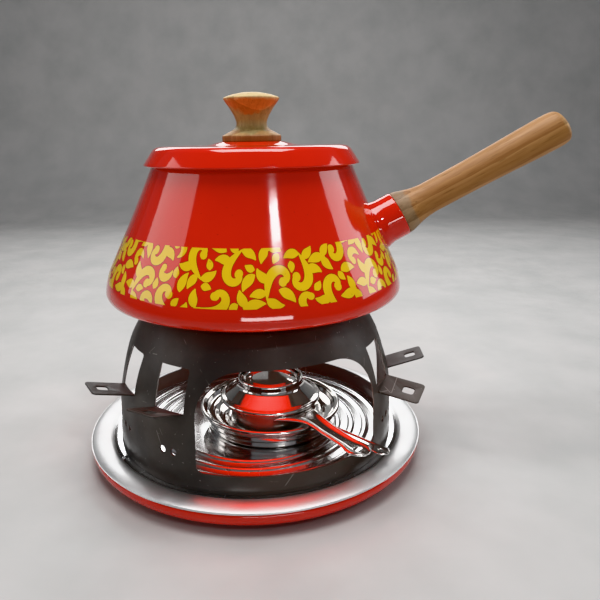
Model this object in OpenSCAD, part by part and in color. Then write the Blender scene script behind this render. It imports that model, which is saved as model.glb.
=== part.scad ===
// Fondue pot set: an enamelled pot with a lid, on a sheet steel stand with a spirit burner,
// in a polished drip tray on an enamelled base plate. Millimetres, +Z up.
// The origin is on the table, at the centre of the base plate. The front is -Y.

/* [Base plate and tray] */
// Outer radius of the drip tray
tray_r = 114.3; // [112:0.1:118]
// Height of the tray's floor above the table
tray_floor_z = 11.5; // [11.2:0.1:11.8]
// Radius of the roll round the base plate's edge
plate_roll_r = 2.4; // [2:0.1:2.4]
// Sheet thickness of the base plate and the tray
tray_sheet = 0.8; // [0.6:0.1:0.8]

/* [Stand] */
// Outer radius of the stand's foot
stand_r = 94; // [93:0.1:94]
// Radius of the stand's domed upper wall
dome_r = 97.5; // [96:0.5:100]
// Sheet thickness of the stand
stand_sheet = 1; // [0.8:0.1:1]
// Direction that the burner opening faces, turned from the front towards +X
opening_az = 17; // [10:1:20]
// Half width of the burner opening
opening_half_w = 56; // [55:0.5:57]
// Lower edge of the openings
opening_z0 = 22.5; // [20:0.5:22.5]
// Upper edge of the openings
opening_z1 = 80.5; // [80:0.5:84]
// Half width of the two openings at the back
back_half_w = 52; // [48:0.5:54]
// Length of a fork rest
rest_l = 26; // [20:1:30]
// Width of a fork rest
rest_w = 21; // [18:0.5:22]
// Radius of the hole in a fork rest
rest_hole_r = 3.8; // [3:0.1:4.5]

/* [Burner] */
// Sideways offset of the burner from the stand's axis
burner_x = 10; // [8:0.5:10]
// Outer radius of the burner pan's flange
pan_r = 49; // [46:0.5:49]
// Top of the burner pan's flange
pan_z = 25; // [24.9:0.1:25.2]
// Outer radius of the damper's rolled edge
damper_r = 35.6; // [34:0.1:37]
// Top of the damper's collar
collar_z = 44.5; // [43.5:0.5:45]
// Direction of the pan's handle, turned from the front towards +X
pan_handle_az = 44.8; // [42:0.1:45]
// Angle from the pan's handle to the damper's handle
handle_gap_deg = 7.3; // [4:0.1:12]

/* [Pot] */
// Largest outer radius of the pot
pot_r = 100.8; // [98:0.1:102]
// Height of the pot's flat bottom above the table
pot_z = 95; // [95:0.5:98]
// Radius of the flat part of the bottom
pot_flat_r = 60; // [55:1:60]
// Outer radius of the pot's neck
neck_r = 69.5; // [68.5:0.1:70]
// Height of the neck above the flat bottom
neck_h = 98; // [96:0.5:100]
// Sheet thickness of the pot
pot_sheet = 1.2; // [1:0.1:1.4]

/* [Pot handle] */
// Rise of the handle above the horizontal
handle_rise = 28.0; // [27:0.1:31]
// Distance from the pot's wall to the end of the socket
socket_l = 17.5; // [16:0.5:20]
// Outer radius of the socket
socket_r = 15.8; // [15:0.1:16.5]
// Distance from the pot's wall to the end of the wood
handle_l = 146; // [130:1:160]

/* [Lid] */
// Outer radius of the lid
lid_r = 73.9; // [73:0.1:74.5]
// Height of the lid's edge above the pot's neck
lid_drop = 3; // [2.5:0.1:3.5]
// Height of the lid, edge to boss
lid_h = 14.8; // [14:0.1:16]
// Height of the wooden knob
knob_h = 33.7; // [30:0.1:36]
// Largest radius of the wooden knob
knob_r = 20.3; // [18:0.1:21]

/* [Hidden] */
$fn = 96;

gap = 0.05;                       // clearance between pieces that rest on each other
arc_n = 6;                        // steps in a small bend
enamel = [0.80, 0.09, 0.05];
wood = [0.66, 0.43, 0.24];

plate_floor_r = 88;
plate_sheet = 0.9;
plate_roll = [tray_r - 0.8 - plate_roll_r, 10.7];
plate_wall_r = 7;                 // bend from the plate's floor up to the roll
tray_ridges = [58, 67.5, 77, 86.5];
tray_well_r = 97.4;
tray_edge_z = plate_roll[1] + plate_roll_r + gap;
lug_az = 62;
lug_r = 1.3;

bottom_slope = 18.9;              // rise of the pot's underside from the flat to the corner
pot_belly_r = 50;
pot_wall_lean = 22.5;             // lean of the pot's wall from the vertical
seat_r = 64;                      // inner radius of the ring that the pot sits on
seat_bend_r = 4;
dome_z = 40;                      // where the upright wall of the stand turns into the dome
dome_c = [stand_r - dome_r, dome_z];
corner_r = 28;
rest_z = 55;
rest_top_z = 79.7;
rest_hole_at = 17.3;
window_w = rest_w + 1;            // width of the slot that a rest is cut from
// Each opening: direction from the burner opening's centre, and half width
openings = [[0, opening_half_w], [121, back_half_w], [-121, back_half_w]];
// Each fork rest: direction from the burner opening's centre, and upward tilt as bent
rests = [[-48.4, 19.8], [-76, 15.2], [47.7, -7], [69, 17.4], [166, 12], [-166, 9]];
vent_r = 2.1;
vent_pitch = 8.4;
vent_z = 31.5;

cup_r = 28;
cup_top_z = 28.3;
cup_neck_r = 21;
cup_neck_z = 40;
burner_sheet = 0.8;
sleeve_r = cup_neck_r + gap;
collar_r = 23.2;
collar_bottom_z = 39;
collar_edge_r = (collar_r - sleeve_r) / 2;
air_holes = 6;
air_hole_r = 2.6;
air_z = 33.5;
strip_t = 1.2;                    // thickness of the two handles
pan_strip_z = pan_z - burner_sheet - gap - strip_t;
damper_strip_z = 28.55;
strip_drop = 3.15;                // the damper's handle steps down this far
strip_w = 12;                     // width of the damper's handle
step_at = [52.5, 66];             // where the damper's handle steps down, from the burner's axis
tip_at = 88;                      // centre of the round tip of the damper's handle
tip_r = 8.5;
pan_hole_at = 96.5;

neck_z = pot_z + neck_h;
pot_corner_c = pot_corner_centre();
handle_r0 = pot_wall_r(handle_z());
socket_wall = 1.2;
spigot_r = socket_r - socket_wall - gap;
insert_r = 5;
insert_l = 20;
stud_r = 2.5;
stud_l = 46;

lid_edge_z = neck_z + lid_drop;
lid_top_z = lid_edge_z + lid_h;
lid_sheet = 1;
lid_skirt = [6, 9.65];             // run and fall of the sloping skirt
lid_boss_r = 22.5;
lid_boss_h = 2.8;
rim_roll_r = 1.6;
screw_r = 2;
screw_l = 24;

// ---- helpers ----

// Points along an arc about c, from angle a0 to angle a1
function arc(c, r, a0, a1, n = arc_n) =
  [for (i = [0:n]) let (a = a0 + (a1 - a0) * i / n) c + r * [cos(a), sin(a)]];

// Unit normal on the left of a path, at point i
function left_normal(p, i) =
  let (d = p[min(i + 1, len(p) - 1)] - p[max(i - 1, 0)]) [-d[1], d[0]] / norm(d);

// A path moved to its left by t
function moved(p, t) = [for (i = [0:len(p) - 1]) p[i] + t * left_normal(p, i)];

function reversed(p) = [for (i = [len(p) - 1:-1:0]) p[i]];

// Where a line through q along the unit vector u leaves a circle about the origin
function leave_circle(q, u, r) = let (b = q * u) q + u * (-b + sqrt(b * b - q * q + r * r));

// Sheet metal spun about Z: a path of [radius, height] points, thickened to its left by t
module spun(path, t) {
  rotate_extrude() polygon(concat(path, reversed(moved(path, t))));
}

// A rolled edge
module roll(at, r) {
  rotate_extrude() translate(at) circle(r, $fn = 32);
}

// Turns a child that points along -Y towards an azimuth, counted from the front towards +X
module facing(az) {
  rotate([0, 0, az]) children();
}

module about_burner() {
  translate([burner_x, 0, 0]) children();
}

// ---- base plate and tray ----

module base_plate() {
  wall_c = plate_roll + [plate_roll_r - plate_wall_r, 0];
  path = concat([[0, 0], [plate_floor_r, 0]], arc(wall_c, plate_wall_r, -75, -6, 8));
  color(enamel) {
    spun(path, plate_sheet);
    roll(plate_roll, plate_roll_r);
  }
}

// A pressed bead in the tray's floor
function ridge(r, z) = [[r - 1.7, z], [r - 0.8, z + 0.75], [r, z + 1], [r + 0.8, z + 0.75], [r + 1.7, z]];

module drip_tray() {
  z = tray_floor_z - tray_sheet;
  crest_r = 18;
  crest_c = [106.5, tray_edge_z + 1.1 - crest_r];
  path = concat(
    [[0, z]],
    [for (r = tray_ridges) each ridge(r, z)],
    [[tray_well_r, z], [tray_well_r + 1.6, z + 0.8]],
    arc(crest_c, crest_r, 107, 74),
    [[tray_r, tray_edge_z]]
  );
  color("silver") {
    spun(path, tray_sheet);
    for (i = [0:2])
      facing(lug_az + i * 120) translate([0, -stand_r - lug_r - 0.3, tray_floor_z - tray_sheet / 2])
        cylinder(h = 2.2, r1 = lug_r, r2 = lug_r * 0.6);
  }
}

// ---- stand ----

// Outer path of the stand, from the foot to the seat that the pot's underside rests on
function stand_path() =
  let (
    u = [cos(bottom_slope), sin(bottom_slope)],
    n = [-sin(bottom_slope), cos(bottom_slope)],
    line = [pot_flat_r, pot_z] - (seat_bend_r + gap) * n,
    bend_c = dome_c + leave_circle(line - dome_c, u, dome_r - seat_bend_r),
    a = atan2(bend_c[1] - dome_c[1], bend_c[0] - dome_c[0]),
    seat_end = bend_c + seat_bend_r * n
  )
  concat(
    [[stand_r, tray_floor_z + gap]],
    arc(dome_c, dome_r, 0, a, 14),
    [for (p = arc(bend_c, seat_bend_r, a, 90 + bottom_slope)) if (p[1] > dome_c[1] + dome_r * sin(a)) p],
    [seat_end - u * (seat_end[0] - seat_r) / u[0]]
  );

// An arched opening, as seen from outside: half width, lower edge, upper edge
module arched_opening(w, z0, z1) {
  foot_r = 4;
  polygon(concat(
    arc([-w + foot_r, z0 + foot_r], foot_r, 180, 270),
    arc([w - foot_r, z0 + foot_r], foot_r, -90, 0),
    arc([w - corner_r, z1 - corner_r], corner_r, 0, 90, 10),
    arc([-w + corner_r, z1 - corner_r], corner_r, 90, 180, 10)
  ));
}

// A cut from the axis outwards through the wall, in the direction az
module wall_cut(az) {
  facing(az) translate([0, -40, 0]) rotate([90, 0, 0]) linear_extrude(height = 70) children();
}

// A tongue cut from the wall and bent outwards, with a hole for a fork
module fork_rest(tilt) {
  c = 2.5;
  root = dome_c[0] + sqrt(dome_r * dome_r - pow(rest_z - dome_z, 2)) - stand_sheet / 2;
  translate([0, -root, rest_z - stand_sheet * 0.7]) rotate([-tilt, 0, 0]) difference() {
    linear_extrude(height = stand_sheet) polygon(concat(
      [[rest_w / 2, 0], [-rest_w / 2, 0]],
      arc([-rest_w / 2 + c, -rest_l + c], c, 180, 270),
      arc([rest_w / 2 - c, -rest_l + c], c, -90, 0)
    ));
    translate([0, -rest_hole_at, -1]) cylinder(h = stand_sheet + 2, r = rest_hole_r);
  }
}

module stand_shell() {
  color([0.25, 0.24, 0.24]) union() {
    difference() {
      spun(stand_path(), stand_sheet);
      for (o = openings) wall_cut(opening_az + o[0]) arched_opening(o[1], opening_z0, opening_z1);
      for (r = rests) {
        wall_cut(opening_az + r[0]) translate([-window_w / 2, rest_z])
          square([window_w, rest_top_z - rest_z]);
        for (side = [-1, 1])
          facing(opening_az + r[0]) translate([side * vent_pitch / 2, -stand_r + 6, vent_z])
            rotate([90, 0, 0]) cylinder(h = 12, r = vent_r);
      }
    }
    for (r = rests) facing(opening_az + r[0]) fork_rest(r[1]);
  }
}

// ---- burner ----

module burner_pan() {
  z = tray_floor_z + gap;
  top = pan_z - burner_sheet;
  path = [
    [0, z], [pan_r - 6.5, z], [pan_r - 5, z + 1], [pan_r - 4.4, z + 2.4], [pan_r - 4.4, z + 4.6],
    [pan_r - 3.6, z + 5.4], [pan_r - 3.4, z + 6], [pan_r - 3.4, z + 8.4], [pan_r - 2.6, z + 9.2],
    [pan_r - 2.6, top], [pan_r - 0.6, top]
  ];
  color("silver") about_burner() {
    spun(path, burner_sheet);
    roll([pan_r - 0.8, pan_z - 0.05], 0.7);
  }
}

// A flat handle from radius r0 to radius r1, with a round end, along -Y
module strip_outline(root_w, w, r0, r1, end_r) {
  polygon(concat(
    [[-root_w / 2, -r0], [-w / 2, -r0 - 14], [-w / 2, -r1 + end_r * 1.6]],
    arc([0, -r1 + end_r], end_r, 180, 360, 12),
    [[w / 2, -r1 + end_r * 1.6], [w / 2, -r0 - 14], [root_w / 2, -r0]]
  ));
}

module pan_handle() {
  color("silver") about_burner() facing(pan_handle_az) difference() {
    translate([0, 0, pan_strip_z]) linear_extrude(height = strip_t) difference() {
      strip_outline(24, 8.8, pan_r - 8, 102, 5);
      circle(pan_r - 2.6 + gap);
    }
    translate([0, -pan_hole_at, pan_strip_z - 1]) cylinder(h = 4, r = 1.8);
  }
}

module fuel_cup() {
  z = tray_floor_z + burner_sheet + 2 * gap;
  path = concat(
    [[0, z]], arc([cup_r - 2, z + 2], 2, -90, 0),
    arc([cup_r - 2, cup_top_z - 2], 2, 0, 90),
    [[cup_neck_r + 0.6, cup_top_z], [cup_neck_r, cup_top_z + 0.8], [cup_neck_r, cup_neck_z]]
  );
  color([0.75, 0.75, 0.76]) about_burner() difference() {
    spun(path, burner_sheet);
    air_hole_cuts();
  }
}

module air_hole_cuts() {
  for (i = [0:air_holes - 1]) rotate([0, 0, i * 360 / air_holes]) translate([cup_neck_r - 4, 0, air_z])
    rotate([0, 90, 0]) cylinder(h = 8, r = air_hole_r, $fn = 32);
}

module absorbent_wool() {
  z = tray_floor_z + 2 * burner_sheet + 3 * gap;
  color("ivory") about_burner() translate([0, 0, z])
    cylinder(h = cup_top_z - burner_sheet - 1 - z, r = cup_r - burner_sheet - 1.4);
}

module wick_gauze() {
  color([0.55, 0.55, 0.52]) about_burner() translate([0, 0, cup_top_z - burner_sheet - 0.9])
    cylinder(h = 0.8, r = cup_neck_r + 4);
}

module gauze_ring() {
  color([0.6, 0.6, 0.6]) about_burner() translate([0, 0, cup_top_z - burner_sheet + gap]) rotate_extrude()
    translate([cup_neck_r - burner_sheet - 1.3, 1]) circle(0.9, $fn = 24);
}

// The damper: a sleeve on the cup's neck, a collar, a cone and a rolled edge
module damper_ring() {
  sleeve_z = cup_top_z + 1;
  edge_z = 30.3;
  cone = [
    [sleeve_r + 0.4, collar_bottom_z - 0.6], [collar_r, collar_bottom_z - 0.6],
    [damper_r - 2.4, edge_z + 1.2], [damper_r - 1.2, edge_z + 0.7]
  ];
  color("silver") about_burner() difference() {
    union() {
      rotate_extrude() translate([sleeve_r, sleeve_z])
        square([burner_sheet, collar_z - sleeve_z - collar_edge_r]);
      rotate_extrude() translate([sleeve_r, collar_bottom_z])
        square([2 * collar_edge_r, collar_z - collar_edge_r - collar_bottom_z]);
      roll([sleeve_r + collar_edge_r, collar_z - collar_edge_r], collar_edge_r);
      spun(cone, -burner_sheet);
      roll([damper_r - 1.7, edge_z], 1.7);
    }
    rotate([0, 0, 180 / air_holes]) air_hole_cuts();
  }
}

module damper_handle() {
  az = pan_handle_az - handle_gap_deg;
  z1 = damper_strip_z - strip_drop;
  color("silver") about_burner() facing(az) difference() {
    union() {
      translate([0, 0, damper_strip_z - strip_t]) linear_extrude(height = strip_t) difference() {
        strip_root();
        circle(damper_r - 6);
      }
      step_down(damper_strip_z, z1);
      translate([0, 0, z1 - strip_t]) linear_extrude(height = strip_t) strip_tip();
      for (side = [-1, 1]) strip_edge(side, z1);
    }
    translate([0, -tip_at, z1 - 2]) cylinder(h = 4, r = 3);
  }
}

// The wide root of the damper's handle, under the damper's edge
module strip_root() {
  polygon([[-21, -25], [-17, -damper_r + 3], [-7, -53], [7, -53], [17, -damper_r + 3], [21, -25]]);
}

// The sloping middle of the damper's handle
module step_down(z0, z1) {
  y = -step_at;
  translate([-strip_w / 2, 0, 0]) rotate([90, 0, 90]) linear_extrude(height = strip_w) polygon([
    [y[0], z0], [y[1], z1], [y[1] - 1, z1],
    [y[1] - 1, z1 - strip_t], [y[1], z1 - strip_t], [y[0], z0 - strip_t]
  ]);
}

// The flat end of the damper's handle, seen from above
module strip_tip() {
  w = strip_w / 2;
  polygon(concat(
    [[-w, -step_at[1]], [-w, -tip_at + 8]],
    arc([0, -tip_at], tip_r, 150, 390, 16),
    [[w, -tip_at + 8], [w, -step_at[1]]]
  ));
}

// A raised edge along one side of the damper's handle
module strip_edge(side, z) {
  from = step_at[1];
  translate([side * (strip_w / 2 - 0.6) - 0.5, -tip_at + 2, z - gap]) cube([1, tip_at - 2 - from, 1.8]);
}

module snuffer_cap() {
  r = sleeve_r - 0.5;
  z = cup_neck_z + gap;
  path = [
    [0, z + 1.2], [r - 6, z + 1.2], [r - 4.5, z + 0.3], [r - 1.6, z], [r - 0.9, z + 0.5], [r - 0.8, z + 2.6]
  ];
  color("silver") about_burner() spun(path, burner_sheet);
}

// ---- pot ----

// Centre of the pot's bottom corner, which touches the sloping underside
function pot_corner_centre() =
  let (
    corner_z = pot_z + 18.5,
    rise = corner_z - pot_z,
    run = pot_r - pot_flat_r,
    r = (rise * cos(bottom_slope) - run * sin(bottom_slope)) / (1 - sin(bottom_slope))
  )
  [pot_r - r, corner_z];

function pot_path() =
  let (
    corner_r = pot_r - pot_corner_c[0],
    a = 6,
    belly_c = pot_corner_c + (corner_r - pot_belly_r) * [cos(a), sin(a)],
    belly = arc(belly_c, pot_belly_r, a, pot_wall_lean, 5)
  )
  concat(
    [[0, pot_z], [pot_flat_r, pot_z]],
    arc(pot_corner_c, corner_r, bottom_slope - 90, a, 8),
    [for (i = [1:5]) belly[i]],
    [[neck_r, neck_z], rim_roll_c() + [0, -0.6]]
  );

// Centre of the roll round the pot's rim, which touches the inside of the lid's skirt
function rim_roll_c() =
  let (
    u = [-lid_skirt[0], lid_skirt[1]] / norm(lid_skirt),
    inward = [-u[1], u[0]],
    q = [lid_r, lid_edge_z] + (lid_sheet + rim_roll_r + gap) * inward,
    z = neck_z + 4
  )
  q + u * (z - q[1]) / u[1];

// Radius of the pot's straight wall at a height
function pot_wall_r(z) = neck_r + (neck_z - z) * tan(pot_wall_lean);

// Height at which the handle's axis meets the wall
function handle_z() = pot_z + 56.2;

module pot_body() {
  color(enamel) {
    spun(pot_path(), pot_sheet);
    roll(rim_roll_c(), rim_roll_r);
  }
}

// Places a child that points along +Z on the handle's axis
module on_handle_axis(s = 0) {
  translate([handle_r0, 0, handle_z()]) rotate([0, 90 - handle_rise, 0]) translate([0, 0, s]) children();
}

// The room that the pot takes up, a hair larger than the pot
module pot_room() {
  path = moved(pot_path(), -0.02);
  rotate_extrude() polygon(concat(path, [[0, neck_z]]));
}

module handle_socket() {
  color(enamel) difference() {
    on_handle_axis() rotate_extrude() polygon([
      [0, 2.5], [socket_r - socket_wall, 2.5], [socket_r - socket_wall, socket_l], [socket_r, socket_l],
      [socket_r, 4], [socket_r + 1.2, 1.8], [socket_r + 1.4, -14], [0, -14]
    ]);
    pot_room();
    on_handle_axis(-2) cylinder(h = 8, r = stud_r + gap);
  }
}

module handle_stud() {
  color("silver") on_handle_axis() {
    translate([0, 0, 2.5 + gap]) cylinder(h = 3, r = 4.5, $fn = 6);
    translate([0, 0, 1]) cylinder(h = stud_l, r = stud_r);
  }
}

module handle_insert() {
  color("goldenrod") on_handle_axis(socket_l + 6) difference() {
    cylinder(h = insert_l, r = insert_r);
    translate([0, 0, -1]) cylinder(h = insert_l + 2, r = stud_r + gap);
  }
}

// Turned outline of the wooden handle, as [distance, radius] points along the axis
function handle_outline() = [
  [socket_l + gap, 15.2], [socket_l + 3, 15], [socket_l + 7.3, 13.7], [socket_l + 13.5, 12],
  [socket_l + 20, 11.1], [socket_l + 27, 10.9], [socket_l + 48, 11], [socket_l + 63, 11.2],
  [socket_l + 86, 11.8], [socket_l + 101, 12.2], [handle_l - 12, 12.4]
];

module wood_handle() {
  outline = [for (p = handle_outline()) [p[1], p[0]]];
  color(wood) on_handle_axis() difference() {
    rotate_extrude() polygon(concat(
      [[0, 7.5], [spigot_r, 7.5], [spigot_r, socket_l + gap]],
      outline,
      arc([12.4 - 7, handle_l - 9], 7, 0, 60, 5),
      [[0, handle_l]]
    ));
    cylinder(h = socket_l + 6, r = stud_r + 2.5);
    translate([0, 0, socket_l + 6 - gap]) cylinder(h = insert_l + 2 * gap, r = insert_r + gap);
    cylinder(h = stud_l + 4, r = stud_r + gap);
  }
}

// ---- lid ----

function lid_path() =
  let (
    a = atan2(lid_skirt[1], lid_skirt[0]),
    shoulder_r = 5,
    edge = [lid_r, lid_edge_z],
    up = [-lid_skirt[0], lid_skirt[1]],
    shoulder_c = edge + up - shoulder_r * [sin(a), cos(a)]
  )
  concat(
    [[0, lid_top_z], [lid_boss_r - 1, lid_top_z], [lid_boss_r + 0.4, lid_top_z - 0.5]],
    [[30, lid_top_z - lid_boss_h + 0.4], [32.5, lid_top_z - lid_boss_h]],
    arc(shoulder_c, shoulder_r, 87, 90 - a),
    [edge]
  );

module lid_shell() {
  color(enamel) difference() {
    union() {
      spun(lid_path(), -lid_sheet);
      roll([lid_r - 0.3, lid_edge_z - 0.2], 0.8);
    }
    translate([0, 0, lid_top_z - 3]) cylinder(h = 6, r = screw_r + 0.3);
  }
}

// Turned outline of the knob, as [radius, height] points from its base
function knob_outline() =
  let (k = knob_r / 20.3, h = knob_h / 33.7)
  [for (p = [
    [20.3, 0], [20.3, 3.9], [19.4, 4.4], [16.1, 6.2], [12.6, 8.2], [11, 9.8], [10.5, 11.4], [10.5, 13.6],
    [10.9, 15.2], [13.7, 21], [18.9, 28.3], [19.4, 29.3], [18.8, 29.9], [13.5, 31.9], [7, 33.2], [0, 33.7]
  ]) [p[0] * k, p[1] * h]];

module lid_knob() {
  color(wood) translate([0, 0, lid_top_z + gap]) difference() {
    rotate_extrude() polygon(concat([[0, 0]], knob_outline()));
    translate([0, 0, -1]) cylinder(h = screw_l, r = screw_r + gap);
  }
}

module knob_screw() {
  top = lid_top_z - lid_sheet - 0.8 - 2 * gap;
  color("silver") {
    translate([0, 0, top]) cylinder(h = screw_l - 2, r = screw_r);
    translate([0, 0, top - 2.2]) difference() {
      cylinder(h = 2.2, r = 4);
      translate([-5, -0.5, -1]) cube([10, 1, 1.8]);
    }
  }
}

module knob_washer() {
  color("silver") translate([0, 0, lid_top_z - lid_sheet - 0.8 - gap]) difference() {
    cylinder(h = 0.8, r = 6);
    translate([0, 0, -1]) cylinder(h = 3, r = screw_r + 0.2);
  }
}

base_plate();
drip_tray();
stand_shell();
burner_pan();
pan_handle();
fuel_cup();
absorbent_wool();
wick_gauze();
gauze_ring();
damper_ring();
damper_handle();
snuffer_cap();
pot_body();
handle_socket();
handle_stud();
handle_insert();
wood_handle();
lid_shell();
lid_knob();
knob_screw();
knob_washer();
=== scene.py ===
"""Looks of the fondue pot set: smooth shapes, materials, floor, light and camera round the CAD frame.

Lengths in the shape functions are millimetres, in the CAD's frame: +Z up, the table at 0, the front at -Y.
Directions round the set are azimuths, counted from the front towards +X.
"""

import math
import random

import bpy
import bmesh
import numpy as np
from mathutils import Matrix, Vector


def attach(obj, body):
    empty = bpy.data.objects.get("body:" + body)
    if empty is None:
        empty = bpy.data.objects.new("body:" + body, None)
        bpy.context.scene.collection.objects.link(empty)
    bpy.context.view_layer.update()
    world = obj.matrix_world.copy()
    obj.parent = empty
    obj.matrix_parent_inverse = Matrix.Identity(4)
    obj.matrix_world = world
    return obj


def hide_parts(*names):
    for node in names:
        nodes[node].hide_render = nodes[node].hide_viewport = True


MM = 0.001
SEGMENTS = 192  # steps round a turned piece
SHARP = 35  # degrees between two faces that make their edge a sharp one

random.seed(7)
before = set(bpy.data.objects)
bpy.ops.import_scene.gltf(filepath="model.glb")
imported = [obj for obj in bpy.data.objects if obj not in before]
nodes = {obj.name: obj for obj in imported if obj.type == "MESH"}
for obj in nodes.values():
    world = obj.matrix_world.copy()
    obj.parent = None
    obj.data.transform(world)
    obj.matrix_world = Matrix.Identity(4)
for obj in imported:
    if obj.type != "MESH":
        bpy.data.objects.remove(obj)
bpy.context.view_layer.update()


# ---- paths ----


def arc(centre, radius, start, end, steps=10):
    """Points along an arc, from one angle to another."""
    angles = np.radians(np.linspace(start, end, steps + 1))
    return [(centre[0] + radius * math.cos(a), centre[1] + radius * math.sin(a)) for a in angles]


def rounded(points, radius=0.6, steps=4, closed=False):
    """A path with its corners rounded. A point may give its own corner radius as a third number."""
    out = []
    count = len(points)
    for i, point in enumerate(points):
        here = np.array(point[:2], float)
        r = point[2] if len(point) > 2 else radius
        if r == 0 or (not closed and i in (0, count - 1)):
            out.append(here)
            continue
        before = np.array(points[i - 1][:2]) - here
        after = np.array(points[(i + 1) % count][:2]) - here
        room = min(r, np.linalg.norm(before) * 0.49, np.linalg.norm(after) * 0.49)
        a = here + before / np.linalg.norm(before) * room
        b = here + after / np.linalg.norm(after) * room
        for t in np.linspace(0, 1, steps + 1):
            out.append((1 - t) ** 2 * a + 2 * t * (1 - t) * here + t * t * b)
    return out


def moved(path, distance):
    """The path moved to its left."""
    p = np.array(path, float)
    ahead = np.roll(p, -1, 0)
    behind = np.roll(p, 1, 0)
    ahead[-1] = p[-1]
    behind[0] = p[0]
    along = ahead - behind
    along /= np.linalg.norm(along, axis=1)[:, None]
    return p + distance * np.stack([-along[:, 1], along[:, 0]], 1)


def sheet(path, thickness):
    """The outline of a sheet that lies to the left of a path."""
    return [tuple(p) for p in path] + [tuple(p) for p in moved(path, thickness)[::-1]]


def smooth_through(points, steps=8):
    """A smooth curve through the points."""
    p = [np.array(q, float) for q in points]
    p = [2 * p[0] - p[1]] + p + [2 * p[-1] - p[-2]]
    out = []
    for a, b, c, d in zip(p, p[1:], p[2:], p[3:]):
        for t in np.linspace(0, 1, steps, endpoint=False):
            out.append(0.5 * (2 * b + (c - a) * t + (2 * a - 5 * b + 4 * c - d) * t**2
                              + (3 * b - a - 3 * c + d) * t**3))
    out.append(p[-2])
    return [tuple(q) for q in out]


# ---- meshes ----


def place(obj, body, stands_for=()):
    """Puts a finished piece on its CAD body, in place of the CAD nodes it stands for."""
    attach(obj, body)
    if stands_for:
        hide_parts(*stands_for)
    return obj


def build(name, verts_mm, faces, material, sharp=SHARP, closed=True):
    """A mesh object, smooth but for its sharp edges.

    Its faces are turned outwards, or, for an open sheet of loose faces, kept as they are and joined.
    """
    mesh = bpy.data.meshes.new(name)
    mesh.from_pydata([Vector(v) * MM for v in verts_mm], [], faces)
    bm = bmesh.new()
    bm.from_mesh(mesh)
    if closed:
        bmesh.ops.recalc_face_normals(bm, faces=bm.faces)
    else:
        bmesh.ops.remove_doubles(bm, verts=bm.verts, dist=1e-7)
    bm.to_mesh(mesh)
    bm.free()
    mesh.shade_smooth()
    mesh.set_sharp_from_angle(angle=math.radians(sharp))
    mesh.materials.append(material)
    obj = bpy.data.objects.new(name, mesh)
    bpy.context.scene.collection.objects.link(obj)
    return obj


def lathe(name, outline, material, closed=True, segments=SEGMENTS):
    """Spins an outline of (radius, height) points about Z.

    A closed outline joins its last point to its first.
    """
    verts = []
    rings = []
    for r, z in outline:
        if abs(r) < 1e-6:
            rings.append([len(verts)])
            verts.append((0, 0, z))
            continue
        rings.append(range(len(verts), len(verts) + segments))
        for a in np.linspace(0, 2 * math.pi, segments, endpoint=False):
            verts.append((r * math.cos(a), r * math.sin(a), z))
    faces = []
    pairs = list(zip(rings, rings[1:]))
    if closed and len(rings[0]) > 1:
        pairs.append((rings[-1], rings[0]))
    for low, high in pairs:
        for i in range(segments):
            j = (i + 1) % segments
            if len(low) > 1 and len(high) > 1:
                faces.append((low[i], low[j], high[j], high[i]))
            elif len(high) > 1:
                faces.append((low[0], high[j], high[i]))
            elif len(low) > 1:
                faces.append((low[i], low[j], high[0]))
    return build(name, verts, faces, material)


def turned(azimuth):
    """A turn about Z that takes a piece pointing at the front to an azimuth."""
    return Matrix.Rotation(math.radians(azimuth), 4, "Z")


def shift(obj, x=0, y=0, z=0, turn=None):
    """Moves a piece's own points, after a turn."""
    if turn is not None:
        obj.data.transform(turn)
    obj.data.transform(Matrix.Translation(Vector((x, y, z)) * MM))
    return obj


def prism(name, outline, z0, z1, material):
    """A plate with an outline of (x, y) points."""
    n = len(outline)
    verts = [(x, y, z0) for x, y in outline] + [(x, y, z1) for x, y in outline]
    faces = [tuple(range(n))[::-1], tuple(range(n, 2 * n))]
    faces += [(i, (i + 1) % n, n + (i + 1) % n, n + i) for i in range(n)]
    return build(name, verts, faces, material)


def cut(obj, cutters):
    """Takes the cutters out of a piece."""
    for cutter in cutters:
        modifier = obj.modifiers.new("cut", "BOOLEAN")
        modifier.object = cutter
        modifier.solver = "EXACT"
    apply_modifiers(obj)
    for cutter in cutters:
        bpy.data.objects.remove(cutter)


def apply_modifiers(obj):
    """Makes what the modifiers give the piece's own mesh."""
    graph = bpy.context.evaluated_depsgraph_get()
    mesh = bpy.data.meshes.new_from_object(obj.evaluated_get(graph))
    obj.modifiers.clear()
    obj.data = mesh


def thicken(obj, thickness):
    """Gives a sheet its thickness, behind its face."""
    modifier = obj.modifiers.new("thickness", "SOLIDIFY")
    modifier.thickness = thickness * MM
    apply_modifiers(obj)


def bevel(obj, width):
    """Breaks the sharp edges of a piece."""
    modifier = obj.modifiers.new("bevel", "BEVEL")
    modifier.width = width * MM
    modifier.segments = 2
    modifier.limit_method = "ANGLE"
    modifier.angle_limit = math.radians(40)


# ---- materials ----


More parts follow.
